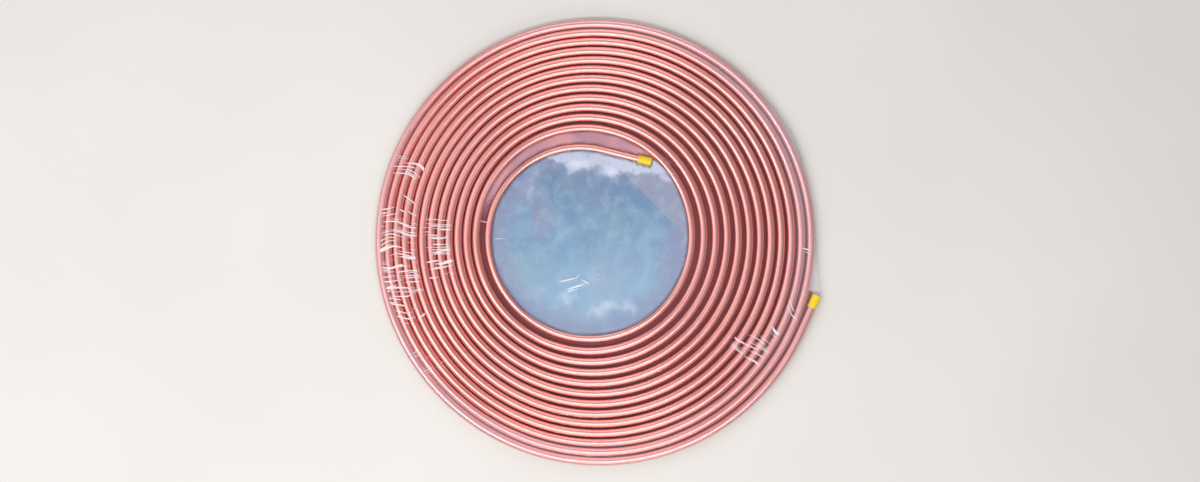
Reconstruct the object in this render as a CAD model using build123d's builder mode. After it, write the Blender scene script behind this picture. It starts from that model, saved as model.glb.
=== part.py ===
from build123d import *

import math
import os

os.makedirs("parts", exist_ok=True)

# Flat coil of soft copper refrigeration tube, wound in a single layer, with a
# push-on plastic cap on each end and clear film shrunk over the whole coil.
# Millimetres. +Z is up and the coil lies flat. The origin is on the underside
# of the film, on the axis of the innermost turn.

# Tube
tube_diameter = 9.52
tube_wall = 0.81

# Winding, from the inner end outwards and counterclockwise seen from above.
# The turns lie close together on one side of the coil and open up on the other.
clear_bore = 229.0
full_turns = 12
close_side_angle = 160.0
first_close_gap = 4.9
close_gap_inside = 1.1
close_gap_outside = 0.3
open_gap_inside = 4.6
open_gap_outside = 1.65

# Free inner end, which curls off the first turn into the bore and then runs
# straight until its cap nearly meets the next turn
inner_bend_inset = 11.66
inner_bend_angle = 114.0
inner_bend_joins = 190.0
inner_cap_gap = 0.4

# Free outer end, which leaves the last turn a little before the open side
last_arc_angle = 176.0
outer_straight = 44.0

# Push-on end caps
cap_wall = 0.69
cap_end_wall = 1.2
cap_length = 16.0
cap_lip_height = 0.3
cap_lip_width = 1.4
cap_edge_radius = 1.0
cap_bore_clearance = 0.05
cap_seat_clearance = 0.2

# Film, drawn tight over the coil and out around the outer cap
film_thickness = 0.3
film_clearance = 0.3
film_rim_flat = 2.8

tube_radius = tube_diameter / 2
inner_turn_radius = clear_bore / 2 + tube_radius
inner_bend_radius = inner_turn_radius - inner_bend_inset
cap_bore_radius = tube_radius + cap_bore_clearance
cap_radius = cap_bore_radius + cap_wall
cap_lip_radius = cap_radius + cap_lip_height
cap_past_tube = cap_seat_clearance + cap_end_wall
tube_height = film_thickness + film_clearance + cap_lip_radius
film_height = 2 * tube_height
film_edge_radius = (film_height - film_rim_flat) / 2


def gap_at(turn, inside, outside):
    """Gap beyond one turn, changing evenly from the inside of the coil to the outside."""
    return inside + (outside - inside) * turn / (full_turns - 1)


# Centreline of the winding, a chain of tangent arcs, and of the straight outer end
with BuildLine() as winding:
    arcs = [
        CenterArc(
            (0, 0, tube_height),
            inner_turn_radius,
            inner_bend_joins,
            180 + close_side_angle - inner_bend_joins,
        )
    ]
    for turn in range(full_turns):
        close_gap = gap_at(turn, close_gap_inside, close_gap_outside) if turn else first_close_gap
        open_gap = gap_at(turn, open_gap_inside, open_gap_outside)
        open_arc_angle = 180 if turn < full_turns - 1 else last_arc_angle
        for gap, arc_angle in ((close_gap, 180), (open_gap, open_arc_angle)):
            before = arcs[-1]
            arc = JernArc(
                start=before @ 1,
                tangent=before % 1,
                radius=before.radius + (tube_diameter + gap) / 2,
                arc_size=arc_angle,
            )
            arcs.append(arc)
    outer_run = Line(arcs[-1] @ 1, arcs[-1] @ 1 + (arcs[-1] % 1) * outer_straight)
next_turn = arcs[1]
last_turn = arcs[-1]

# Centreline of the free inner end. The straight run is as long as it takes to
# bring the outer side of the cap's end to its gap from the next turn.
with BuildLine() as inner_end:
    bend_centre = Vector(inner_bend_inset, 0, tube_height).rotate(Axis.Z, inner_bend_joins)
    inner_bend = CenterArc(
        bend_centre,
        inner_bend_radius,
        inner_bend_joins - inner_bend_angle,
        inner_bend_angle,
    )
    run_start = inner_bend @ 0
    run_heading = (inner_bend % 0) * -1
    cap_side = run_start + (run_start - bend_centre).normalized() * cap_radius
    side_from_turn = cap_side - next_turn.arc_center
    side_along_run = side_from_turn.dot(run_heading)
    stop_radius = next_turn.radius - tube_radius - inner_cap_gap
    stop_along_run = math.sqrt(stop_radius**2 - side_from_turn.length**2 + side_along_run**2)
    inner_straight = stop_along_run - side_along_run - cap_past_tube
    inner_run = Line(run_start + run_heading * inner_straight, run_start)

# Copper tube, its ring section swept along the winding, then along the inner end
with BuildPart() as copper_tube:
    for stretch in (winding.wire(), *inner_end.edges()):
        with BuildSketch(Plane(origin=stretch @ 0, z_dir=stretch % 0)):
            Circle(tube_radius)
            Circle(tube_radius - tube_wall, mode=Mode.SUBTRACT)
        sweep(path=stretch, clean=False)
copper_tube.part.label = "copper_tube"


def end_cap(tube_end, outward):
    """Moulded cup pushed over one end of the tube, open end towards the tube."""
    cap_end = tube_end + outward * cap_past_tube
    mouth = Plane(origin=cap_end - outward * cap_length, z_dir=outward)
    with BuildPart() as cap:
        with BuildSketch(mouth):
            Circle(cap_radius)
        extrude(amount=cap_length)
        fillet(cap.edges().sort_by(Axis(mouth.origin, outward))[-1], radius=cap_edge_radius)
        with BuildSketch(mouth):
            Circle(cap_lip_radius)
        extrude(amount=cap_lip_width)
        with BuildSketch(mouth):
            Circle(cap_bore_radius)
        extrude(amount=cap_length - cap_end_wall, mode=Mode.SUBTRACT)
    return cap


inner_end_cap = end_cap(inner_run @ 0, (inner_run % 0) * -1)
inner_end_cap.part.label = "inner_end_cap"
outer_end_cap = end_cap(outer_run @ 1, outer_run % 1)
outer_end_cap.part.label = "outer_end_cap"


def film_body(inset):
    """Outline of the coil and its outer cap pulled tight, with rounded rims."""
    cover = film_clearance + film_thickness - inset
    cap_end = outer_run @ 1 + (outer_run % 1) * cap_past_tube
    cap_mouth = cap_end - (outer_run % 1) * cap_length
    with BuildPart() as body:
        with BuildSketch(Plane.XY.offset(inset)):
            with Locations((last_turn.arc_center.X, last_turn.arc_center.Y)):
                Circle(last_turn.radius + tube_radius + cover)
            with Locations((cap_end.X, cap_end.Y), (cap_mouth.X, cap_mouth.Y)):
                Circle(cap_lip_radius + cover)
            make_hull()
        extrude(amount=film_height - 2 * inset)
        rims = body.faces().sort_by(Axis.Z)[0].edges() + body.faces().sort_by(Axis.Z)[-1].edges()
        fillet(rims, radius=film_edge_radius - inset)
    return body


film_outside = film_body(0)
film_inside = film_body(film_thickness)
with BuildPart() as shrink_film:
    add(film_outside.part)
    add(film_inside.part, mode=Mode.SUBTRACT)
shrink_film.part.label = "shrink_film"

tube_length = sum(edge.length for edge in winding.edges() + inner_end.edges())
section_area = math.pi * (tube_radius**2 - (tube_radius - tube_wall) ** 2)
print("tube length", round(tube_length, 1))
print("tube volume", round(copper_tube.part.volume), "section times length", round(section_area * tube_length))
print("film box", shrink_film.part.bounding_box())

for piece in (copper_tube, inner_end_cap, outer_end_cap, shrink_film):
    export_step(piece.part, f"parts/{piece.part.label}.step")
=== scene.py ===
import math
import random

import bpy
import numpy as np
from mathutils import Matrix, Vector, noise
from mathutils.kdtree import KDTree


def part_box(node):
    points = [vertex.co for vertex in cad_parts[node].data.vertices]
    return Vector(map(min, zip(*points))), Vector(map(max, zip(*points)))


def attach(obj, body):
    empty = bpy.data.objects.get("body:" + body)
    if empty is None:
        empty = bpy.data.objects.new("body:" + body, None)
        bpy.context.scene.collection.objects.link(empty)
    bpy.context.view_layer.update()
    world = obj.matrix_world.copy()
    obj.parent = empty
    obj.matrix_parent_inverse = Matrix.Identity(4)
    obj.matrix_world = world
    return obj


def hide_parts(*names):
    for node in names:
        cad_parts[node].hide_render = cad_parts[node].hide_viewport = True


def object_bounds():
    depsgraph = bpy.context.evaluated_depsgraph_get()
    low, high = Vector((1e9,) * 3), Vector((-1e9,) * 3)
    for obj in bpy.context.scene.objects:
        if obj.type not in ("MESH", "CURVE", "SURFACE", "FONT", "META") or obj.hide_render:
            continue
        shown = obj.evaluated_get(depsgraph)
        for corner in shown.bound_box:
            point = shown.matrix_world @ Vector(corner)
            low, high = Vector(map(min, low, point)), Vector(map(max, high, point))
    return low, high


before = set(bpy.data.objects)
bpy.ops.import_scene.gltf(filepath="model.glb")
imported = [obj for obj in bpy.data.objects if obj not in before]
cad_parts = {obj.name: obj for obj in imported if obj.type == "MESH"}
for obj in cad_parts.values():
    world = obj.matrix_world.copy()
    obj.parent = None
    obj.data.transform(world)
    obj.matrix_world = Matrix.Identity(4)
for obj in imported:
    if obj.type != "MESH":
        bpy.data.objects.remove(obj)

cad_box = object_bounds()
MM = 0.001

# Tube and winding, the sizes of the part, in metres and degrees
TUBE_RADIUS = 4.76 * MM
CLEAR_BORE = 229.0 * MM
BORE_RADIUS = CLEAR_BORE / 2
FULL_TURNS = 12
CLOSE_SIDE_ANGLE = 160.0
FIRST_CLOSE_GAP = 4.9 * MM
CLOSE_GAPS = (1.1 * MM, 0.3 * MM)
OPEN_GAPS = (4.6 * MM, 1.65 * MM)
INNER_BEND_RADIUS = 107.6 * MM
INNER_BEND_ANGLE = 114.0
INNER_BEND_JOINS = 190.0
INNER_STRAIGHT = 58.1 * MM
LAST_ARC_ANGLE = 176.0
OUTER_STRAIGHT = 44.0 * MM
TUBE_HEIGHT = sum(corner[2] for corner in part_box("copper_tube")) / 2

# Caps, the sizes of the part
CAP_RADIUS = 5.5 * MM
CAP_LIP_RADIUS = 5.8 * MM
CAP_LIP_WIDTH = 1.4 * MM
CAP_LENGTH = 16.0 * MM
CAP_END_WALL = 1.2 * MM
CAP_END_ROUND = 1.0 * MM
CAP_BORE_RADIUS = TUBE_RADIUS + 0.05 * MM
CAP_PAST_TUBE = 1.4 * MM

# Camera over the coil, as in the photograph, with its sensor in millimetres
FRAME_WIDTH, FRAME_HEIGHT = 1200, 482
CAMERA_DISTANCE = 2.0
SENSOR_WIDTH = 36.0
COIL_SHARE_OF_HEIGHT = 0.93

RANDOM = random.Random(11)


def unit(degrees):
    """Unit vector in the floor plane at this angle."""
    return np.array([math.cos(math.radians(degrees)), math.sin(math.radians(degrees))])


def gap_at(turn, gaps):
    """Gap beyond one turn, changing evenly from the inside of the coil to the outside."""
    return gaps[0] + (gaps[1] - gaps[0]) * turn / (FULL_TURNS - 1)


def winding():
    """Arcs of the centreline, inner end first, as (centre, radius, start angle, sweep, gap outside)."""
    open_side = CLOSE_SIDE_ANGLE + 180
    radius = BORE_RADIUS + TUBE_RADIUS
    bend_centre = unit(INNER_BEND_JOINS) * (radius - INNER_BEND_RADIUS)
    bend_start = INNER_BEND_JOINS - INNER_BEND_ANGLE
    arcs = [(bend_centre, INNER_BEND_RADIUS, bend_start, INNER_BEND_ANGLE, FIRST_CLOSE_GAP)]
    centre = np.zeros(2)
    arcs.append((centre, radius, INNER_BEND_JOINS, open_side - INNER_BEND_JOINS, OPEN_GAPS[0]))
    for turn in range(FULL_TURNS):
        close_gap = gap_at(turn, CLOSE_GAPS) if turn else FIRST_CLOSE_GAP
        growth = TUBE_RADIUS + close_gap / 2
        radius += growth
        centre = centre - unit(open_side) * growth
        arcs.append((centre, radius, open_side - 360, 180, close_gap))
        growth = TUBE_RADIUS + gap_at(turn, OPEN_GAPS) / 2
        radius += growth
        centre = centre - unit(CLOSE_SIDE_ANGLE) * growth
        sweep = 180 if turn < FULL_TURNS - 1 else LAST_ARC_ANGLE
        arcs.append((centre, radius, CLOSE_SIDE_ANGLE, sweep, gap_at(turn, CLOSE_GAPS)))
    return arcs


def centreline(step):
    """Points of the tube's centreline a step apart, with outward directions and the room beside each."""
    arcs = winding()
    points, outward, room = [], [], []

    def straight(start, direction, side, length):
        count = max(1, round(length / step))
        for index in range(count):
            points.append(start + direction * length * index / count)
            outward.append(side)
            room.append(0.0)

    centre, radius, start, _, _ = arcs[0]
    heading = unit(start + 90)
    bend_start = centre + unit(start) * radius
    straight(bend_start - heading * INNER_STRAIGHT, heading, unit(start), INNER_STRAIGHT)
    for centre, radius, start, sweep, gap in arcs:
        count = max(1, round(math.radians(sweep) * radius / step))
        for index in range(count):
            direction = unit(start + sweep * index / count)
            points.append(centre + direction * radius)
            outward.append(direction)
            room.append(gap)
    centre, radius, start, sweep, _ = arcs[-1]
    end_angle = start + sweep
    heading = unit(end_angle + 90)
    run_start = centre + unit(end_angle) * radius
    straight(run_start, heading, unit(end_angle), OUTER_STRAIGHT)
    points.append(run_start + heading * OUTER_STRAIGHT)
    outward.append(unit(end_angle))
    room.append(0.0)
    return np.array(points), np.array(outward), np.array(room)


def mesh_object(name, vertices, faces, uvs=None):
    """A smooth-shaded mesh object from arrays, with an optional UV for each face corner."""
    mesh = bpy.data.meshes.new(name)
    mesh.from_pydata(vertices, [], faces)
    mesh.polygons.foreach_set("use_smooth", [True] * len(mesh.polygons))
    if uvs is not None:
        layer = mesh.uv_layers.new(name="surface")
        layer.data.foreach_set("uv", np.asarray(uvs, dtype=np.float32).ravel())
    mesh.update()
    piece = bpy.data.objects.new(name, mesh)
    bpy.context.scene.collection.objects.link(piece)
    return piece


def bands(rings, sides, first=0):
    """Faces that join each ring of points to the next, where the rings start at the first point."""
    faces = []
    for ring in range(rings - 1):
        low, high = first + ring * sides, first + (ring + 1) * sides
        for index in range(sides):
            following = (index + 1) % sides
            faces.append((low + index, high + index, high + following, low + following))
    return faces


# Node helpers
def new_material(name):
    """An empty node material, with its node tree and its output."""
    material = bpy.data.materials.new(name)
    material.use_nodes = True
    tree = material.node_tree
    tree.nodes.clear()
    return material, tree, tree.nodes.new("ShaderNodeOutputMaterial")


def add(tree, kind, settings=None, **inputs):
    """A node with its settings. Inputs go by name, or by number as _0, and take values or sockets."""
    item = tree.nodes.new(kind)
    for key, value in (settings or {}).items():
        setattr(item, key, value)
    for key, value in inputs.items():
        socket = item.inputs[int(key[1:])] if key[0] == "_" else item.inputs[key.replace("_", " ")]
        if isinstance(value, bpy.types.NodeSocket):
            tree.links.new(value, socket)
        else:
            socket.default_value = value
    return item


def ramp(tree, factor, stops):
    """A colour ramp over a factor, from (place, colour) stops."""
    item = tree.nodes.new("ShaderNodeValToRGB")
    while len(item.color_ramp.elements) < len(stops):
        item.color_ramp.elements.new(0.5)
    for element, (place, colour) in zip(item.color_ramp.elements, stops):
        element.position = place
        element.color = (*colour, 1.0)
    tree.links.new(factor, item.inputs["Fac"])
    return item.outputs["Color"]


def spread(tree, factor, low, high, to_low, to_high):
    """A value remapped from one range to another, held at its ends."""
    item = add(tree, "ShaderNodeMapRange", None, Value=factor)
    for name, value in (("From Min", low), ("From Max", high), ("To Min", to_low), ("To Max", to_high)):
        item.inputs[name].default_value = value
    return item.outputs["Result"]


def mixed(tree, factor, first, second):
    """Two colours mixed by a factor."""
    item = tree.nodes.new("ShaderNodeMix")
    item.data_type = "RGBA"
    for socket, value in ((item.inputs[0], factor), (item.inputs[6], first), (item.inputs[7], second)):
        if isinstance(value, bpy.types.NodeSocket):
            tree.links.new(value, socket)
        else:
            socket.default_value = value if isinstance(value, float) else (*value, 1.0)
    return item.outputs[2]


def overlaid(tree, base, colour, source, low, high, most):
    """A colour laid over a base, from none of it where the source is low to the most where it is high."""
    return mixed(tree, spread(tree, source, low, high, 0.0, most), base, colour)


def noise_texture(tree, place, scale, detail, warp=0.0):
    """Noise from 0 to 1 over a place, in lumps of about 1 / scale."""
    item = add(tree, "ShaderNodeTexNoise", None, Vector=place, Scale=scale, Detail=detail, Distortion=warp)
    return item.outputs["Fac"]


def stretched(tree, place, scale):
    """A place scaled by a different amount along each axis."""
    return add(tree, "ShaderNodeMapping", None, Vector=place, Scale=scale).outputs["Vector"]


def math_node(tree, operation, first, second=0.0, third=0.0, clamp=False):
    """One arithmetic step on values or sockets."""
    settings = {"operation": operation, "use_clamp": clamp}
    return add(tree, "ShaderNodeMath", settings, _0=first, _1=second, _2=third).outputs[0]


def length_of(tree, vector):
    """Length of a vector."""
    return add(tree, "ShaderNodeVectorMath", {"operation": "LENGTH"}, _0=vector).outputs["Value"]


def polar(tree, place):
    """Angle and radius of a place about the coil's axis."""
    flat = add(tree, "ShaderNodeSeparateXYZ", None, Vector=place)
    angle = math_node(tree, "ARCTAN2", flat.outputs["Y"], flat.outputs["X"])
    ring = add(tree, "ShaderNodeCombineXYZ", None, X=flat.outputs["X"], Y=flat.outputs["Y"], Z=0.0)
    return angle, length_of(tree, ring.outputs[0])


def relief(tree, shader, height, strength, distance):
    """Gives a shader fine relief from a height."""
    bump = add(tree, "ShaderNodeBump", None, Strength=strength, Distance=distance, Height=height)
    tree.links.new(bump.outputs["Normal"], shader.inputs["Normal"])


# Copper
COPPER_TONES = ((0.32, (0.94, 0.39, 0.36)), (0.5, (0.95, 0.42, 0.395)), (0.68, (0.96, 0.46, 0.445)))
COPPER_RUBBED = (0.96, 0.58, 0.54)
COPPER_TARNISHED = (0.74, 0.30, 0.23)
COPPER_EDGE_TINT = (1.0, 0.62, 0.57, 1.0)


def copper_material():
    """Soft drawn copper: pink satin metal with drawing lines along it and faint warm tarnish."""
    material, tree, output = new_material("soft_drawn_copper")
    place = add(tree, "ShaderNodeTexCoord").outputs["Object"]
    # The UV runs around the tube in x and along it in y, both in metres
    uv = add(tree, "ShaderNodeUVMap", {"uv_map": "surface"}).outputs["UV"]
    drawing = noise_texture(tree, stretched(tree, uv, (900.0, 6.0, 1.0)), 1.0, 3.0)
    smear = noise_texture(tree, stretched(tree, uv, (130.0, 9.0, 1.0)), 1.0, 4.0)
    blotches = noise_texture(tree, place, 120.0, 4.0)
    base = ramp(tree, noise_texture(tree, place, 6.0, 2.0), COPPER_TONES)
    base = overlaid(tree, base, COPPER_RUBBED, smear, 0.52, 0.8, 0.3)
    base = overlaid(tree, base, COPPER_TARNISHED, blotches, 0.58, 0.76, 0.22)
    roughness = spread(tree, smear, 0.3, 0.7, 0.27, 0.35)
    shader = add(tree, "ShaderNodeBsdfPrincipled", None, Base_Color=base, Metallic=1.0, Roughness=roughness)
    shader.inputs["Specular Tint"].default_value = COPPER_EDGE_TINT
    shader.inputs["Coat Weight"].default_value = 0.25
    shader.inputs["Coat Roughness"].default_value = 0.2
    relief(tree, shader, mixed(tree, 0.35, drawing, blotches), 0.08, 0.3 * MM)
    tree.links.new(shader.outputs["BSDF"], output.inputs["Surface"])
    return material


# Cap plastic
CAP_TONES = ((0.35, (0.94, 0.64, 0.002)), (0.65, (0.99, 0.75, 0.005)))
CAP_SCUFFED = (0.97, 0.82, 0.22)


def cap_material():
    """Yellow moulded polyethylene, slightly mottled and scuffed."""
    material, tree, output = new_material("yellow_polyethylene")
    place = add(tree, "ShaderNodeTexCoord").outputs["Object"]
    scuffs = noise_texture(tree, place, 900.0, 6.0)
    base = ramp(tree, noise_texture(tree, place, 180.0, 3.0), CAP_TONES)
    base = overlaid(tree, base, CAP_SCUFFED, scuffs, 0.6, 0.75, 0.3)
    roughness = spread(tree, scuffs, 0.3, 0.7, 0.3, 0.5)
    shader = add(tree, "ShaderNodeBsdfPrincipled", None, Base_Color=base, Roughness=roughness)
    relief(tree, shader, scuffs, 0.15, 0.3 * MM)
    tree.links.new(shader.outputs["BSDF"], output.inputs["Surface"])
    return material


# Film plastic. Its mesh carries these values at each point. The last two are the cosine and sine
# of an angle that is 0 on a turn of tube and pi midway to the next.
FILM_FIELDS = ("haze", "folds", "pale", "warm", "between_cos", "between_sin")
# Mottled blues of the hazy film, partly painted reflection of bluish surroundings
FILM_TONES = ((0.32, (0.14, 0.31, 0.56)), (0.5, (0.21, 0.41, 0.66)), (0.68, (0.32, 0.54, 0.79)))
FILM_LILAC = (0.36, 0.34, 0.56)
FILM_SLATE = (0.19, 0.235, 0.43)
FILM_PAINTED_SKY_REFLECTION = (0.44, 0.70, 0.93)
FILM_GREENISH = (0.46, 0.66, 0.68)
FILM_BORE_EDGE = (0.31, 0.36, 0.60)
FILM_DOUBLED = (0.38, 0.41, 0.60)
FILM_MILK = (0.44, 0.62, 0.84)
FILM_PAINTED_GLARE = (0.78, 0.82, 1.0)
FILM_PAINTED_COPPER_REFLECTION = ((0.56, 0.28, 0.37), (0.78, 0.36, 0.41))
# Painted shade between the turns, with the copper's reflected light in it
FILM_PAINTED_GAP_SHADE = (0.30, 0.008, 0.010)
FILM_PAINTED_GLINT = (0.98, 0.92, 0.94)
WHITE = (1.0, 1.0, 1.0)
# The doubled film's edge crosses both axes this far from the coil's axis
DOUBLED_EDGE = 115.5 * MM
DOUBLED_EDGE_BLUR = 0.6 * MM
# Creases of the film over the bore and just beside it, in millimetres and degrees: middle, direction, half
# length, half width of the line, height, strength of the painted glint along it
CREASES = (
    ((-26.0, -50.0), 13.0, 13.0, 0.9, 0.9, 1.0),
    ((-17.0, -58.0), 17.0, 13.0, 1.05, 1.0, 1.0),
    ((-4.7, -52.5), -32.0, 6.5, 0.85, 0.8, 1.0),
    ((-14.0, -46.0), 50.0, 4.0, 0.8, 0.6, 0.8),
    ((10.0, -44.0), 35.0, 2.6, 0.7, 0.6, 0.5),
    ((-107.0, -1.5), 2.0, 6.0, 0.6, 0.3, 0.8),
    ((-123.0, 18.0), -14.0, 6.5, 0.6, 0.3, 0.75),
    ((-126.0, -46.0), 30.0, 3.2, 0.6, 0.3, 0.6),
    ((84.0, 31.5), -45.0, 36.0, 0.6, 0.5, 0.12),
)


def tension_strokes(tree, place, zone):
    """Painted glints along fine straight folds that run across the turns, from 0 to 1, thicker where the zone
    is.
    """
    angle, radius = polar(tree, place)
    slant = math_node(tree, "MULTIPLY", noise_texture(tree, place, 16.0, 1.0), radius)
    angle = math_node(tree, "MULTIPLY_ADD", slant, 0.9, angle)
    folds = add(tree, "ShaderNodeCombineXYZ", None, X=angle, Y=radius, Z=0.0).outputs[0]
    grain = noise_texture(tree, stretched(tree, folds, (110.0, 26.0, 1.0)), 1.0, 1.5, 0.35)
    edge = math_node(tree, "MULTIPLY_ADD", zone, -0.30, 0.80)
    return math_node(tree, "MULTIPLY", math_node(tree, "SUBTRACT", grain, edge), 14.0, clamp=True)


def sharp_creases(tree, place):
    """The few crisp creases, each a thin line of painted glint in its own coordinates, from 0 to 1."""
    total = 0.0
    for middle, direction, half_length, half_width, _, glint_strength in CREASES:
        local = add(
            tree,
            "ShaderNodeMapping",
            {"vector_type": "TEXTURE"},
            Vector=place,
            Location=(middle[0] * MM, middle[1] * MM, 0.0),
            Rotation=(0.0, 0.0, math.radians(direction)),
            Scale=(half_length * MM, half_width * MM, 1.0),
        )
        line = spread(tree, length_of(tree, local.outputs[0]), 0.7, 1.0, glint_strength, 0.0)
        total = math_node(tree, "MAXIMUM", line, total)
    return total


def hazy_colour(tree, place, clouds, milk, crinkle, pale, warm):
    """Colour of the hazy film: mottled blues over the bore, partly painted reflection of bluish surroundings;
    painted glare where it is pale; painted copper reflection, pink, where it is warm.
    """
    flat = add(tree, "ShaderNodeSeparateXYZ", None, Vector=place)
    north = math_node(tree, "MULTIPLY_ADD", clouds, 0.10, flat.outputs["Y"])
    _, radius = polar(tree, place)
    hue = noise_texture(tree, place, 15.0, 3.0, 0.4)
    # Beyond a straight folded edge, at the upper right of the bore, the film lies double
    edge = math_node(tree, "ADD", flat.outputs["X"], flat.outputs["Y"])
    edge = math_node(tree, "MULTIPLY_ADD", crinkle, 0.0012, edge)
    edge_low, edge_high = DOUBLED_EDGE - DOUBLED_EDGE_BLUR, DOUBLED_EDGE + DOUBLED_EDGE_BLUR
    tint = ramp(tree, clouds, FILM_TONES)
    # Painted light over the bore: darker towards the top, and lighter sky blue towards the bottom where light
    # reflects off the film
    for colour, source, low, high, most in (
        (FILM_LILAC, hue, 0.52, 0.66, 0.6),
        (FILM_SLATE, north, 0.07, 0.14, 0.7),
        (FILM_PAINTED_SKY_REFLECTION, north, 0.06, -0.01, 0.5),
        (FILM_GREENISH, hue, 0.46, 0.34, 0.4),
        (FILM_BORE_EDGE, radius, 0.080, 0.108, 0.75),
        (FILM_DOUBLED, edge, edge_low, edge_high, 0.85),
        (FILM_MILK, milk, 0.48, 0.68, 0.45),
    ):
        tint = overlaid(tree, tint, colour, source, low, high, most)
    # Painted glare: where the film is pale it is painted towards a pale blue-white
    torn = math_node(tree, "MULTIPLY_ADD", milk, 1.1, math_node(tree, "MULTIPLY_ADD", crinkle, 0.35, pale))
    torn = math_node(tree, "MULTIPLY", spread(tree, torn, 1.0, 1.35, 0.25, 1.0), pale)
    tint = mixed(tree, torn, tint, FILM_PAINTED_GLARE)
    # Painted copper reflection: the film over the crescent inside the loose inner turn is painted pink and
    # made hazier, as if lit by the copper beside it
    blush = mixed(tree, spread(tree, clouds, 0.4, 0.62, 0.0, 1.0), *FILM_PAINTED_COPPER_REFLECTION)
    return overlaid(tree, tint, blush, warm, 0.0, 0.3, 1.0)


def film_material():
    """Clear shrink film: glossy and see-through, cloudy over the bore, with painted glints on its creases,
    painted glare, and painted shade between the turns.
    """
    material, tree, output = new_material("clear_shrink_film")
    place = add(tree, "ShaderNodeTexCoord").outputs["Object"]
    haze, folds, pale, warm, between_cos, between_sin = (
        add(tree, "ShaderNodeAttribute", {"attribute_name": name}).outputs["Fac"] for name in FILM_FIELDS
    )
    clouds = noise_texture(tree, place, 24.0, 6.0, 0.8)
    milk = noise_texture(tree, place, 75.0, 4.0, 0.5)
    crinkle = noise_texture(tree, place, 230.0, 6.0, 1.2)
    tint = hazy_colour(tree, place, clouds, milk, crinkle, pale, warm)
    # Painted shade and painted copper reflection: the bottom sheet between the turns is painted dark maroon
    # and made opaque, standing in for the shade in the gaps and the light the copper throws into them
    between = math_node(tree, "ABSOLUTE", math_node(tree, "ARCTAN2", between_sin, between_cos))
    between = spread(tree, between, 1.5, 2.1, 0.0, 0.94)
    tint = mixed(tree, between, tint, FILM_PAINTED_GAP_SHADE)
    # Painted glints: the strokes of the folds and the creases are painted white
    strokes = tension_strokes(tree, place, folds)
    strokes = math_node(tree, "MAXIMUM", strokes, sharp_creases(tree, place))
    tint = mixed(tree, strokes, tint, FILM_PAINTED_GLINT)
    # The film reflects as gloss, scatters where it is hazy, where glints are painted and where shade is
    # painted, and is see-through for the rest
    facing = add(tree, "ShaderNodeLayerWeight", None, Blend=0.5).outputs["Facing"]
    gloss = spread(tree, math_node(tree, "POWER", facing, 4.0), 0.0, 1.0, 0.02, 0.6)
    scatter = math_node(tree, "MAXIMUM", haze, math_node(tree, "MULTIPLY", strokes, 0.84))
    scatter = math_node(tree, "MAXIMUM", scatter, between)
    cover = math_node(tree, "MULTIPLY_ADD", math_node(tree, "SUBTRACT", 1.0, gloss), scatter, gloss)
    mirror = math_node(tree, "DIVIDE", gloss, cover)
    base = mixed(tree, mirror, tint, WHITE)
    shader = add(tree, "ShaderNodeBsdfPrincipled", None, Base_Color=base, Metallic=mirror, Roughness=0.1)
    shader.inputs["IOR"].default_value = 1.45
    height = math_node(tree, "MULTIPLY_ADD", strokes, 0.3, math_node(tree, "MULTIPLY", crinkle, 0.5))
    relief(tree, shader, height, 0.3, 0.5 * MM)
    clear = add(tree, "ShaderNodeBsdfTransparent", None, Color=(*WHITE, 1.0))
    mix = add(tree, "ShaderNodeMixShader", None, _0=cover, _1=clear.outputs[0], _2=shader.outputs[0])
    tree.links.new(mix.outputs[0], output.inputs["Surface"])
    return material


# Tube, with sizes in metres and counts of points
TUBE_SIDES = 24
RING_STEP = 5.2 * MM
WANDER_SHARE = 0.32
WANDER_SCALE = 3.1
LIFT = 0.25 * MM
LIFT_SCALE = 2.3
ROOM_BLUR_POINTS = 20
STILL_END = 75.0 * MM
END_FADE = 250.0 * MM


def wandering_centreline():
    """The centreline as coiled by hand: turns wander within their gaps and rise and fall a little."""
    points, outward, room = centreline(RING_STEP)
    along = np.concatenate([[0.0], np.cumsum(np.linalg.norm(np.diff(points, axis=0), axis=1))])
    wander = np.array([noise.noise(Vector((distance * WANDER_SCALE, 0.0, 3.3))) for distance in along])
    lift = np.array([noise.noise(Vector((distance * LIFT_SCALE, 5.0, 9.1))) for distance in along])
    window = 2 * ROOM_BLUR_POINTS + 1
    room = np.convolve(np.pad(room, ROOM_BLUR_POINTS, mode="edge"), np.ones(window) / window, mode="valid")
    ends = np.clip((np.minimum(along, along[-1] - along) - STILL_END) / END_FADE, 0, 1)
    points = points + outward * (wander * room * WANDER_SHARE * ends)[:, None]
    heights = TUBE_HEIGHT + lift * LIFT * ends
    return np.column_stack([points, heights]), along


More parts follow.
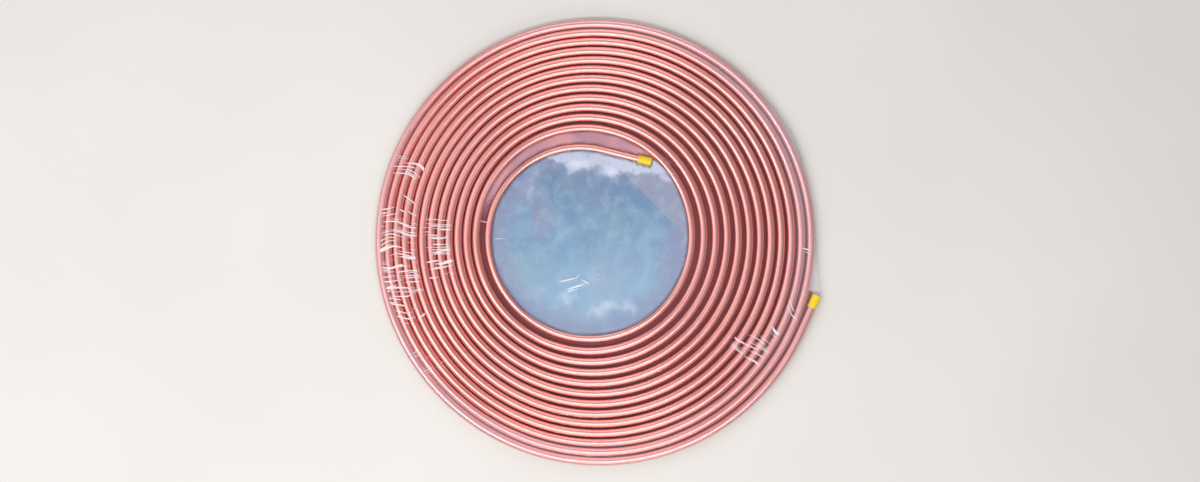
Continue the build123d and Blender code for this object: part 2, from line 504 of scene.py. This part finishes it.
def make_tube():
    """The coiled tube, one ring of points for each step of the centreline, and its path."""
    path, along = wandering_centreline()
    tangent = np.gradient(path, axis=0)
    tangent /= np.linalg.norm(tangent, axis=1)[:, None]
    side = np.column_stack([tangent[:, 1], -tangent[:, 0], np.zeros(len(path))])
    side /= np.linalg.norm(side, axis=1)[:, None]
    up = np.cross(side, tangent)
    angles = 2 * math.pi * np.arange(TUBE_SIDES) / TUBE_SIDES
    rings = (
        path[:, None, :]
        + TUBE_RADIUS * np.cos(angles)[None, :, None] * side[:, None, :]
        + TUBE_RADIUS * np.sin(angles)[None, :, None] * up[:, None, :]
    )
    faces = bands(len(path), TUBE_SIDES)
    uvs = []
    girths = TUBE_RADIUS * np.append(angles, 2 * math.pi)
    for before, after in zip(along[:-1], along[1:]):
        for left, right in zip(girths[:-1], girths[1:]):
            uvs += [(left, before), (left, after), (right, after), (right, before)]
    last = (len(path) - 1) * TUBE_SIDES
    for end in (list(range(TUBE_SIDES)), list(reversed(range(last, last + TUBE_SIDES)))):
        faces.append(end)
        uvs += [(0.0, 0.0)] * TUBE_SIDES
    piece = mesh_object("coiled_tube", rings.reshape(-1, 3).tolist(), faces, uvs)
    piece.data.materials.append(copper_material())
    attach(piece, "root")
    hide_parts("copper_tube")
    return path


# Caps, with the fine form of their moulding
CAP_SIDES = 48
CAP_MOUTH_CHAMFER = 0.2 * MM
CAP_LIP_ROUND = 0.3 * MM
# Slope between the lip and the cap's side, along the cap and across it
CAP_LIP_FOOT = (0.3 * MM, 0.12 * MM)
CAP_TAPER = 0.08 * MM
# End face, dished and with the moulding's gate mark in its middle: depths and radii in millimetres
CAP_END_FACE = ((0.05, 3.42), (0.3, 2.92), (0.3, 1.1), (0.1, 0.8), (0.1, 0.0))


def cap_profile():
    """Outline of a cap as (distance from the mouth, radius), from the bore's floor round to the end face."""
    floor = CAP_LENGTH - CAP_END_WALL
    outline = [(floor, 0.0), (floor, CAP_BORE_RADIUS), (CAP_MOUTH_CHAMFER, CAP_BORE_RADIUS)]
    outline += [(0.0, CAP_BORE_RADIUS + CAP_MOUTH_CHAMFER), (0.0, CAP_LIP_RADIUS - CAP_LIP_ROUND)]
    for angle in (0.5, 1.0, 1.57):
        inset = CAP_LIP_ROUND * (1 - math.cos(angle))
        outline.append((inset, CAP_LIP_RADIUS - CAP_LIP_ROUND * (1 - math.sin(angle))))
    outline.append((CAP_LIP_WIDTH - CAP_LIP_ROUND, CAP_LIP_RADIUS))
    outline.append((CAP_LIP_WIDTH, CAP_RADIUS + CAP_LIP_FOOT[1]))
    outline.append((CAP_LIP_WIDTH + CAP_LIP_FOOT[0], CAP_RADIUS))
    outline += [(CAP_LENGTH * share, CAP_RADIUS - CAP_TAPER * share) for share in (0.4, 0.65, 0.88)]
    top = CAP_RADIUS - CAP_TAPER - CAP_END_ROUND
    for angle in (0, 22, 45, 68, 90):
        across, rise = unit(angle) * CAP_END_ROUND
        outline.append((CAP_LENGTH - CAP_END_ROUND + rise, top + across))
    outline += [(CAP_LENGTH - depth * MM, radius * MM) for depth, radius in CAP_END_FACE]
    return outline


def make_cap(name, tube_end, outward, material):
    """A cap pushed over one end of the tube."""
    axis = Vector(outward)
    side = Vector((-axis.y, axis.x, 0.0))
    up = axis.cross(side)
    mouth = Vector(tube_end) + axis * (CAP_PAST_TUBE - CAP_LENGTH)
    outline = cap_profile()
    vertices = []
    for distance, radius in outline:
        for index in range(CAP_SIDES):
            angle = 2 * math.pi * index / CAP_SIDES
            spoke = side * math.cos(angle) + up * math.sin(angle)
            vertices.append(mouth + axis * distance + spoke * radius)
    # A cap's spokes turn the other way round than a tube's, so its faces are turned over
    faces = [(a, d, c, b) for a, b, c, d in bands(len(outline), CAP_SIDES)]
    piece = mesh_object(name + "_moulding", vertices, faces)
    weld = piece.modifiers.new("weld", "WELD")
    weld.merge_threshold = 0.01 * MM
    piece.data.materials.append(material)
    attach(piece, "root")
    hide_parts(name)


# Film, its shape
FILM_OFF_TUBE = 0.22 * MM
FILM_FLOOR = 0.12 * MM
FILM_OFF_RIM = 0.35 * MM
FILM_MIDDLE_LIFT = 0.9 * MM
RIM_BULGE = 0.55
RIM_SEAM = 0.5 * MM
RIM_SEAM_SPREAD = 0.2
# How far the film dips between turns and sags over the bore, and from where off the copper, how soon
GAP_DIP = 0.35 * MM
GAP_DIP_FROM, GAP_DIP_RUN = 2.0 * MM, 4.0 * MM
BORE_SAG = 3.6 * MM
BORE_SAG_FROM, BORE_SAG_RUN = 5.0 * MM, 90.0 * MM
BORE_BILLOW = 1.5 * MM
BOTTOM_RISE_RUN = 30 * MM
# The ridge under a crease is wider than its white line by this, in millimetres
CREASE_FOOT = 1.2
CAP_TOP = TUBE_HEIGHT + CAP_LIP_RADIUS + 0.1 * MM
CAP_TENT_FLAT, CAP_TENT_SLOPE = 8 * MM, 24 * MM
# Numbers of points of the tube's path: in its last turn and a bit more, in the inner straight run,
# in a part of one turn, and those looked up beside a place
LAST_TURN_POINTS = 372
INNER_RUN_POINTS = 12
SAME_TURN_POINTS = 60
NEARBY_POINTS = 8
WIDEST_PITCH = 15.3 * MM
TOP_RINGS, RIM_RINGS, BOTTOM_RINGS = 94, 10, 54
BOTTOM_RADII = [radius * MM for radius in (124, 120.5, 117.5, 114.5, 111.5, 107, 100, 88, 72, 54, 36, 18)]
PLAIN_SPOKES, DENSE_SPOKES = 270, 280
DENSE_ZONE = (146.0, 218.0)
# Points laid along each side of the hull round the coil
HULL_STEPS = 60

# Haze, which is the share of light that the film scatters
CLEAR_HAZE = 0.008
BORE_HAZE = 0.64
PALE_HAZE = 0.25
CRESCENT_HAZE = 0.15
RIM_HAZE = 0.05
PAINTED_SHEEN_HAZE = 0.13
SEAM_HAZE = 0.08
LEAST_HAZE = 0.004
BOTTOM_HAZE, BOTTOM_BORE_HAZE = 0.04, 0.45
# Paleness from 0 to 1, which the film material paints as glare, where it doesn't change from place to place
SEAM_PALE = 0.5
BOTTOM_PALE = 0.2
# Distances over which haze sets in: off the copper, off a cap and beyond the loose inner turn
OFF_COPPER = (4.0 * MM, 6.6 * MM)
OFF_CAP = (0.3 * MM, 2.6 * MM)
CRESCENT_EDGE = (2.0 * MM, 6.0 * MM)
# Radii over which the rim's haze, its paleness and its painted sheen set in, all painted glare of the film
# towards the rim
RIM_EDGE = (234 * MM, 246 * MM)
RIM_PALE_EDGE = (225 * MM, 240 * MM)
PAINTED_SHEEN_EDGE = (236 * MM, 250 * MM)
# The painted sheen is strongest at this angle and opposite it
PAINTED_SHEEN_ANGLE = 38
# The crescent reaches this far out from the bore, and fades out between these angles before the
# end of the inner bend
CRESCENT_REACH = 14 * MM
CRESCENT_FADE = (40, 18)
# Torn edge of the painted glare over the top of the bore, in millimetres: where it crosses the y axis, its
# slope
TORN_EDGE = (80, -0.16)

# Loose pouches of film at the rim, above the outer end: middle and half width in degrees, reach
POUCHES = ((27.0, 4.5, 4.6 * MM), (34.5, 3.0, 2.4 * MM), (21.0, 2.2, 2.0 * MM))
# Groups of tension wrinkles across the turns, in degrees and millimetres: count, angles, radii,
# longest, strength
WRINKLES = (
    (30, (171.0, 197.0), (202.0, 246.0), 30.0, 1.0),
    (22, (190.0, 204.0), (212.0, 246.0), 14.0, 0.7),
    (13, (172.0, 197.0), (162.0, 196.0), 22.0, 0.9),
    (5, (156.0, 169.0), (206.0, 246.0), 20.0, 0.9),
    (12, (323.0, 333.0), (205.0, 250.0), 12.0, 0.6),
    (8, (338.0, 346.0), (244.0, 262.0), 8.0, 0.7),
    (3, (352.0, 358.0), (246.0, 262.0), 10.0, 0.7),
    (3, (214.0, 220.0), (222.0, 250.0), 14.0, 0.6),
)
# Places where fine folds of the film get painted glints: angles in degrees, radii in millimetres, strength
FOLD_ZONES = (
    ((171.0, 199.0), (203.0, 246.0), 0.92),
    ((188.0, 206.0), (212.0, 244.0), 0.8),
    ((172.0, 196.0), (162.0, 194.0), 0.8),
    ((156.0, 162.0), (208.0, 246.0), 0.9),
    ((166.0, 170.0), (208.0, 224.0), 0.8),
    ((321.0, 334.0), (206.0, 250.0), 0.76),
    ((337.0, 346.0), (244.0, 262.0), 0.8),
    ((353.0, 357.0), (246.0, 260.0), 0.8),
    ((212.0, 222.0), (222.0, 250.0), 0.72),
)
# Pale clouds of painted glare in the film over the bore, in millimetres and degrees: middle, half lengths
# along and across, direction, paleness
BORE_CLOUDS = (
    ((-28.0, -72.0), (17.0, 11.0), 35.0, 0.58),
    ((18.0, -82.0), (24.0, 10.0), 10.0, 0.62),
    ((42.0, -76.0), (9.0, 13.0), 60.0, 0.55),
    ((0.0, -60.0), (48.0, 30.0), 0.0, 0.26),
    ((-62.0, -66.0), (16.0, 10.0), -45.0, 0.3),
    ((-12.0, 86.0), (24.0, 10.0), -6.0, 1.0),
    ((24.0, 80.0), (16.0, 10.0), -28.0, 0.95),
    ((-68.0, 66.0), (22.0, 10.0), 45.0, 0.4),
)


def hull_of(points):
    """Convex hull of points in the plane, counterclockwise."""
    ordered = sorted(map(tuple, points))

    def half(run):
        chain = []
        for x, y in run:
            while len(chain) > 1:
                (ax, ay), (bx, by) = chain[-2], chain[-1]
                if (bx - ax) * (y - ay) - (by - ay) * (x - ax) > 0:
                    break
                chain.pop()
            chain.append((x, y))
        return chain[:-1]

    return np.array(half(ordered) + half(ordered[::-1]))


def film_outline(angles, path, outer_end, outer_heading):
    """How far the film's rim reaches at each angle: the outer turn and its cap, wrapped tight."""
    last_turn = path[-LAST_TURN_POINTS:, :2]
    distance = np.linalg.norm(last_turn, axis=1)[:, None]
    grown = last_turn + last_turn / distance * (TUBE_RADIUS + FILM_OFF_RIM)
    across = np.array([-outer_heading[1], outer_heading[0]])
    cap_end = outer_end + outer_heading * (CAP_PAST_TUBE + FILM_OFF_RIM)
    corners = [cap_end + across * (CAP_LIP_RADIUS + FILM_OFF_RIM) * sign for sign in (-1, 1)]
    corners += [corner - outer_heading * CAP_LENGTH for corner in corners]
    hull = hull_of(np.vstack([grown, corners]))
    hull = np.vstack([hull, hull[:1]])
    sides = zip(hull[:-1], hull[1:])
    dense = np.vstack([np.linspace(start, end, HULL_STEPS, endpoint=False) for start, end in sides])
    bearing = np.arctan2(dense[:, 1], dense[:, 0])
    order = np.argsort(bearing)
    reach = np.interp(angles, bearing[order], np.linalg.norm(dense, axis=1)[order], period=2 * math.pi)
    for middle, width, height in POUCHES:
        away = (np.degrees(angles) - middle + 180) % 360 - 180
        reach = reach + height * np.exp(-((away / width) ** 2))
    return reach


def spokes():
    """Angles of the film mesh's spokes, packed closer where the film is most wrinkled."""
    low, high = DENSE_ZONE
    dense = np.linspace(low, high, DENSE_SPOKES, endpoint=False)
    plain = np.linspace(high, low + 360, PLAIN_SPOKES, endpoint=False)
    return np.radians(np.concatenate([dense, plain]))


def turned(x, y, direction):
    """Distances along a direction and across it, over arrays."""
    c, s = unit(direction)
    return x * c + y * s, y * c - x * s


def ridge(x, y, middle, direction, half_length, half_width):
    """Height from 0 to 1 of a straight ridge with soft ends, over arrays of places in metres."""
    along, across = turned(x / MM - middle[0], y / MM - middle[1], direction)
    return np.exp(-((along / half_length) ** 4) - (across / half_width) ** 2)


def wrinkle_ridges():
    """Tension wrinkles as (middle, direction, half length, half width, height), in millimetres."""
    made = []
    for count, angles, radii, longest, strength in WRINKLES:
        for index in range(count):
            share = (index + RANDOM.uniform(0.15, 0.85)) / count
            angle = angles[0] + (angles[1] - angles[0]) * share
            radius = RANDOM.uniform(*radii)
            half_length = longest * RANDOM.uniform(0.3, 1.0) / 2
            half_length = max(min(half_length, radius - radii[0] + 4, radii[1] - radius + 4), 3.0)
            width = RANDOM.uniform(0.8, 1.3)
            tall = strength * RANDOM.uniform(0.2, 0.5)
            made.append((unit(angle) * radius, angle, half_length, width, tall))
    return made


def smooth_step(value, low, high):
    """0 below low, 1 above high, and smooth between them, over an array."""
    share = np.clip((value - low) / (high - low), 0, 1)
    return share * share * (3 - 2 * share)


def noise_field(x, y, scale, seed):
    """Smooth noise from -1 to 1 over arrays of places, in lumps of about 1 / scale metres."""
    return np.array([noise.noise(Vector((a * scale, b * scale, seed * 7.31))) for a, b in zip(x, y)])


def nearest_turn(x, y, path, tree):
    """Nearest point of the centreline, how far it is, and how far outside it each place lies, over arrays."""
    found = [tree.find((a, b, 0.0)) for a, b in zip(x, y)]
    index = np.array([item[1] for item in found])
    away = np.array([item[2] for item in found])
    tangent = np.gradient(path[:, :2], axis=0)
    outward = np.column_stack([tangent[:, 1], -tangent[:, 0]]) / np.linalg.norm(tangent, axis=1)[:, None]
    offset = np.column_stack([x, y]) - path[index, :2]
    return index, away, (offset * outward[index]).sum(axis=1)


def crescent(x, y):
    """1 between the loose inner turn and the turn outside it, 0 elsewhere, over arrays of places."""
    centre, radius, start, sweep, _ = winding()[0]
    dx, dy = x - centre[0], y - centre[1]
    bearing = np.degrees(np.arctan2(dy, dx)) % 360
    bearing = np.where(bearing > start + sweep + 60, bearing - 360, bearing)
    straight, _ = turned(dx, dy, start)
    beyond = np.where(bearing < start, straight, np.hypot(dx, dy)) - radius
    fading = smooth_step(bearing, *(start + sweep - before for before in CRESCENT_FADE))
    share = smooth_step(beyond, *CRESCENT_EDGE) * (1 - fading)
    return share * (np.hypot(x, y) < BORE_RADIUS + CRESCENT_REACH)


def between_turns(x, y, tree):
    """Angle of each place between two turns, 0 on a turn and pi midway, as its cosine and sine."""
    shares = []
    for a, b in zip(x, y):
        nearby = tree.find_n((a, b, 0.0), NEARBY_POINTS)
        found = [(index, away) for _, index, away in nearby if index > INNER_RUN_POINTS]
        first, near = found[0] if found else (0, WIDEST_PITCH)
        others = (away for index, away in found if abs(index - first) > SAME_TURN_POINTS)
        far = min(others, default=2 * WIDEST_PITCH)
        shares.append((near / (near + far), near + far))
    share, pitch = np.array(shares).T
    turn = 2 * math.pi * share * (1 - smooth_step(pitch, WIDEST_PITCH, WIDEST_PITCH + 3 * MM))
    return np.cos(turn), np.sin(turn)


def bore_film(x, y, index, outside):
    """1 where no turn lies under the film: over the bore and over the crescent; and the crescent alone."""
    warm = crescent(x, y)
    bore_edge = INNER_STRAIGHT + sum(math.radians(sweep) * radius for _, radius, _, sweep, _ in winding()[:3])
    over_bore = ((outside < 0) | (index == 0)) & (index * RING_STEP < bore_edge)
    return np.maximum(over_bore, warm), warm


def beside_caps(x, y, caps):
    """0 over a cap and 1 away from it, over arrays of places."""
    clear = np.ones(len(x))
    for end, heading in caps:
        dx, dy = x - end[0], y - end[1]
        along = dx * heading[0] + dy * heading[1]
        past = np.maximum(along - CAP_PAST_TUBE, 0) + np.maximum(CAP_PAST_TUBE - CAP_LENGTH - along, 0)
        beside = np.maximum(abs(dy * heading[0] - dx * heading[1]) - CAP_RADIUS, 0)
        clear = np.minimum(clear, smooth_step(np.hypot(past, beside), *OFF_CAP))
    return clear


def top_height(x, y, rest, away, caps, ridges):
    """Height of the top sheet: tight over the turns, sagging over the bore, creased, raised by the caps."""
    in_bore = np.hypot(x, y) < BORE_RADIUS
    inside = np.where(in_bore, np.clip((away - BORE_SAG_FROM) / BORE_SAG_RUN, 0, 1), 0.0)
    billow = noise_field(x, y, 19, 1) + 0.5 * noise_field(x, y, 47, 2)
    height = rest - GAP_DIP * np.clip((away - GAP_DIP_FROM) / GAP_DIP_RUN, 0, 1) ** 2
    height += billow * BORE_BILLOW * np.clip(inside * 3, 0, 1) - BORE_SAG * (1 - (1 - inside) ** 3)
    for middle, direction, half_length, half_width, tall in ridges:
        height += tall * MM * ridge(x, y, middle, direction, half_length, half_width)
    for middle, direction, half_length, half_width, tall, _ in CREASES:
        height += tall * MM * ridge(x, y, middle, direction, half_length, half_width + CREASE_FOOT)
    for end, _ in caps:
        distance = np.hypot(x - end[0], y - end[1])
        tent = np.clip(1 - np.maximum(0.0, distance - CAP_TENT_FLAT) / CAP_TENT_SLOPE, 0, 1) ** 1.6
        height += (CAP_TOP + FILM_OFF_TUBE - height) * tent
    return height


def painted_fold_glints(radius, bearing):
    """How strongly fine folds get painted glints, from 0 to 1, over arrays of radii and angles."""
    folds = np.zeros(len(radius))
    reach = radius / MM
    for (first, last), (near, far), strength in FOLD_ZONES:
        across = smooth_step(bearing, first - 1, first + 1) * (1 - smooth_step(bearing, last - 1, last + 1))
        along = smooth_step(reach, near - 4, near + 3) * (1 - smooth_step(reach, far - 3, far + 4))
        folds = np.maximum(folds, strength * across * along)
    return folds


def bore_paleness(x, y):
    """How strongly the film over the bore is painted pale with glare, from 0 to 1, over arrays of places."""
    # Over the top of the bore, beyond a torn edge, the film is painted paler: painted glare of light
    # reflected off it
    ragged = noise_field(x, y, 60, 5) * 9 + noise_field(x, y, 170, 6) * 4
    chord = y / MM - (TORN_EDGE[0] + TORN_EDGE[1] * x / MM) + ragged
    pale = smooth_step(chord, -3.0, 4.0) * 0.7
    drift_x, drift_y = (
        9 * noise_field(x, y, 42, seed) + 4 * noise_field(x, y, 110, seed + 2) for seed in (10, 11)
    )
    torn = 1 + 0.5 * noise_field(x, y, 55, 8)
    for middle, halves, direction, strength in BORE_CLOUDS:
        along, across = turned(x / MM - middle[0] + drift_x, y / MM - middle[1] + drift_y, direction)
        span = (along / halves[0]) ** 2 + (across / halves[1]) ** 2
        pale = np.maximum(pale, strength * np.exp(-(span * torn)))
    return np.clip(pale, 0, 1)


def top_sheet(x, y, path, tree, caps, ridges):
    """Height, haze, fine folds, paleness and warmth of the top sheet over arrays of places."""
    index, away, outside = nearest_turn(x, y, path, tree)
    radius = np.hypot(x, y)
    bearing = np.degrees(np.arctan2(y, x)) % 360
    height = top_height(x, y, path[index, 2] + TUBE_RADIUS + FILM_OFF_TUBE, away, caps, ridges)
    open_film, warm = bore_film(x, y, index, outside)
    clear_of_caps = beside_caps(x, y, caps)
    # Past the tube's inner end no copper lies under the film
    off_copper = smooth_step(np.where(index == 0, 10 * MM, away), *OFF_COPPER)
    open_film = open_film * off_copper * clear_of_caps
    pale = bore_paleness(x, y) * (1 - warm)
    # Nearly clear over the turns, cloudy over the bore, with a painted sheen towards the rim: haze and
    # paleness there paint the film's glare, strongest at one angle and opposite it
    cloudy = BORE_HAZE + 0.06 * noise_field(x, y, 11, 4) + PALE_HAZE * pale + CRESCENT_HAZE * warm
    painted_sheen = smooth_step(radius, *PAINTED_SHEEN_EDGE) * (1 + np.cos(np.radians(2 * (bearing - PAINTED_SHEEN_ANGLE)))) / 2
    rim = smooth_step(radius, *RIM_EDGE) * clear_of_caps
    haze = CLEAR_HAZE * (1 + noise_field(x, y, 14, 3)) + cloudy * open_film
    haze += (RIM_HAZE + PAINTED_SHEEN_HAZE * painted_sheen) * rim
    pale = np.maximum(pale, smooth_step(radius, *RIM_PALE_EDGE))
    return height, np.clip(haze, LEAST_HAZE, 1), painted_fold_glints(radius, bearing), pale, warm


def film_ring(angles, distance, height, haze, folds, pale, warm=0.0, between=(1.0, 0.0)):
    """One closed ring of the film, as a row of place and fields for each angle."""
    x, y = distance * np.cos(angles), distance * np.sin(angles)
    columns = (x, y, height, haze, folds, pale, warm, *between)
    return np.column_stack([np.broadcast_to(column, len(angles)) for column in columns])


def top_rings(angles, flat_reach, path, tree, caps):
    """Rings of the top sheet, from near the middle out to the rim."""
    ridges = wrinkle_ridges()
    rings = []
    for share in np.linspace(0, 1, TOP_RINGS)[1:]:
        distance = flat_reach * share
        x, y = distance * np.cos(angles), distance * np.sin(angles)
        rings.append(film_ring(angles, distance, *top_sheet(x, y, path, tree, caps, ridges)))
    return rings


def rim_rings(angles, flat_reach, reach, top):
    """Rings of the rounded rim with its heat-sealed seam, from the top sheet's edge down."""
    rings = []
    for step in range(1, RIM_RINGS + 1):
        turn = math.pi * step / (RIM_RINGS + 1)
        lumps = noise_field(angles * 9, np.full(len(angles), step * 0.2), 4, 9)
        seam = RIM_SEAM * math.exp(-(((turn - math.pi / 2) / RIM_SEAM_SPREAD) ** 2)) * (1 + 0.5 * lumps)
        distance = flat_reach + (reach - flat_reach) * math.sin(turn) + seam
        height = FILM_FLOOR + (top - FILM_FLOOR) * (1 + math.cos(turn)) / 2
        haze, folds = SEAM_HAZE + 0.05 * abs(lumps), 0.25 * np.clip(lumps, 0, 1)
        rings.append(film_ring(angles, distance, height, haze, folds, SEAM_PALE))
    return rings


def bottom_rings(angles, flat_reach, path, tree):
    """Rings of the bottom sheet, from the rim in to near the middle, lifted a little over the bore."""
    steps = np.arange(BOTTOM_RINGS) / BOTTOM_RINGS
    distances = [flat_reach + (BOTTOM_RADII[0] - flat_reach) * step for step in steps]
    distances += [np.full(len(angles), radius) for radius in BOTTOM_RADII]
    rings = []
    for distance in distances:
        depth = np.clip((BORE_RADIUS - distance) / BOTTOM_RISE_RUN, 0, 1)
        x, y = distance * np.cos(angles), distance * np.sin(angles)
        height = FILM_FLOOR + depth * (0.9 + 0.8 * noise_field(x, y, 23, 7)) * MM
        index, _, outside = nearest_turn(x, y, path, tree)
        open_film, warm = bore_film(x, y, index, outside)
        haze = BOTTOM_HAZE + (BOTTOM_BORE_HAZE - BOTTOM_HAZE) * np.maximum(depth, open_film)
        pale = BOTTOM_PALE * (1 - warm)
        between = between_turns(x, y, tree)
        rings.append(film_ring(angles, distance, height, haze, 0.0, pale, warm, between))
    return rings


def make_film(path, caps):
    """The shrunk film as one closed bag: top sheet, rim and bottom sheet."""
    tree = KDTree(len(path))
    for index, point in enumerate(path):
        tree.insert((point[0], point[1], 0.0), index)
    tree.balance()
    angles = spokes()
    reach = film_outline(angles, path, *caps[1])
    flat_reach = reach - RIM_BULGE * (TUBE_HEIGHT + TUBE_RADIUS + FILM_OFF_TUBE - FILM_FLOOR) / 2
    rings = top_rings(angles, flat_reach, path, tree, caps)
    rings += rim_rings(angles, flat_reach, reach, rings[-1][:, 2])
    rings += bottom_rings(angles, flat_reach, path, tree)
    middle = top_sheet(np.zeros(1), np.zeros(1), path, tree, (), ())
    first = [0.0, 0.0, *(field[0] for field in middle), 1.0, 0.0]
    last = [0.0, 0.0, FILM_FLOOR + FILM_MIDDLE_LIFT, BOTTOM_BORE_HAZE, 0.0, BOTTOM_PALE, 0.0, 1.0, 0.0]
    rows = np.vstack([first, *rings, last])
    count = len(angles)
    faces = bands(len(rings), count, 1)
    last_ring = 1 + (len(rings) - 1) * count
    for index in range(count):
        following = (index + 1) % count
        faces.append((0, 1 + index, 1 + following))
        faces.append((len(rows) - 1, last_ring + following, last_ring + index))
    piece = mesh_object("shrink_wrap", rows[:, :3].tolist(), faces)
    for column, name in enumerate(FILM_FIELDS, start=3):
        attribute = piece.data.attributes.new(name, "FLOAT", "POINT")
        attribute.data.foreach_set("value", rows[:, column].astype(np.float32))
    piece.data.materials.append(film_material())
    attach(piece, "root")
    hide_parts("shrink_film")


# Stage, lights and camera
FLOOR_HALF = 6.0
FLOOR_TONES = ((0.3, (0.75, 0.735, 0.715)), (0.7, (0.79, 0.775, 0.755)))
SURROUND_COLOUR = (0.95, 0.97, 1.0, 1.0)
SURROUND_STRENGTH = 0.32
WARM_WHITE = (1.0, 0.94, 0.87)


def make_stage():
    """A plain pale floor."""
    corners = ((-1, -1), (1, -1), (1, 1), (-1, 1))
    vertices = [(x * FLOOR_HALF, y * FLOOR_HALF, 0.0) for x, y in corners]
    floor = mesh_object("floor", vertices, [(0, 1, 2, 3)])
    material, tree, output = new_material("pale_floor")
    place = add(tree, "ShaderNodeTexCoord").outputs["Object"]
    base = ramp(tree, noise_texture(tree, place, 3.0, 2.0), FLOOR_TONES)
    shader = add(tree, "ShaderNodeBsdfPrincipled", None, Base_Color=base, Roughness=0.7)
    tree.links.new(shader.outputs["BSDF"], output.inputs["Surface"])
    floor.data.materials.append(material)


def area_light(name, place, size, power, colour=WHITE):
    """A rectangular soft light aimed at the origin, its first size along X."""
    data = bpy.data.lights.new(name, "AREA")
    data.shape = "RECTANGLE"
    data.size, data.size_y = size
    data.energy = power
    data.color = colour
    light = bpy.data.objects.new(name, data)
    aim = -Vector(place).normalized()
    across = (Vector((1, 0, 0)) - aim * aim.x).normalized()
    up = across.cross(aim)
    light.matrix_world = Matrix.Translation(place) @ Matrix((across, up, -aim)).transposed().to_4x4()
    bpy.context.scene.collection.objects.link(light)


def make_lights():
    """A long narrow ceiling light, broad panels on three sides and overhead, and a dim surround."""
    world = bpy.data.worlds.new("studio")
    bpy.context.scene.world = world
    world.use_nodes = True
    background = world.node_tree.nodes["Background"]
    background.inputs["Color"].default_value = SURROUND_COLOUR
    background.inputs["Strength"].default_value = SURROUND_STRENGTH
    area_light("ceiling_strip", (-0.3, -0.6, 1.5), (2.0, 0.16), 13.5, WARM_WHITE)
    area_light("left_panel", (-2.4, 0.15, 1.9), (2.5, 3.2), 27.0)
    area_light("front_panel", (0.1, -2.5, 1.6), (2.6, 1.5), 23.0)
    area_light("back_panel", (0.1, 2.5, 1.6), (2.6, 1.5), 18.0)
    area_light("overhead", (0.0, 0.3, 2.5), (2.0, 2.4), 4.0)


def make_camera():
    """Straight above the coil, which fills most of the picture's height."""
    (low_x, low_y, _), (high_x, high_y, _) = cad_box
    middle = ((low_x + high_x) / 2, (low_y + high_y) / 2)
    seen_height = (high_y - low_y) / COIL_SHARE_OF_HEIGHT
    seen_width = seen_height * FRAME_WIDTH / FRAME_HEIGHT
    data = bpy.data.cameras.new("camera")
    data.sensor_width = SENSOR_WIDTH
    data.lens = SENSOR_WIDTH * CAMERA_DISTANCE / seen_width
    camera = bpy.data.objects.new("camera", data)
    camera.location = (*middle, CAMERA_DISTANCE)
    bpy.context.scene.collection.objects.link(camera)
    bpy.context.scene.camera = camera


make_camera()
make_lights()
make_stage()
tube_path = make_tube()
yellow = cap_material()
caps = []
for cap_name, end, before in (
    ("inner_end_cap", tube_path[0], tube_path[1]),
    ("outer_end_cap", tube_path[-1], tube_path[-2]),
):
    outward = (end - before) / np.linalg.norm(end - before)
    make_cap(cap_name, end, outward, yellow)
    caps.append((end[:2], outward[:2]))
make_film(tube_path, caps)

bpy.context.scene.view_settings.view_transform = "Standard"
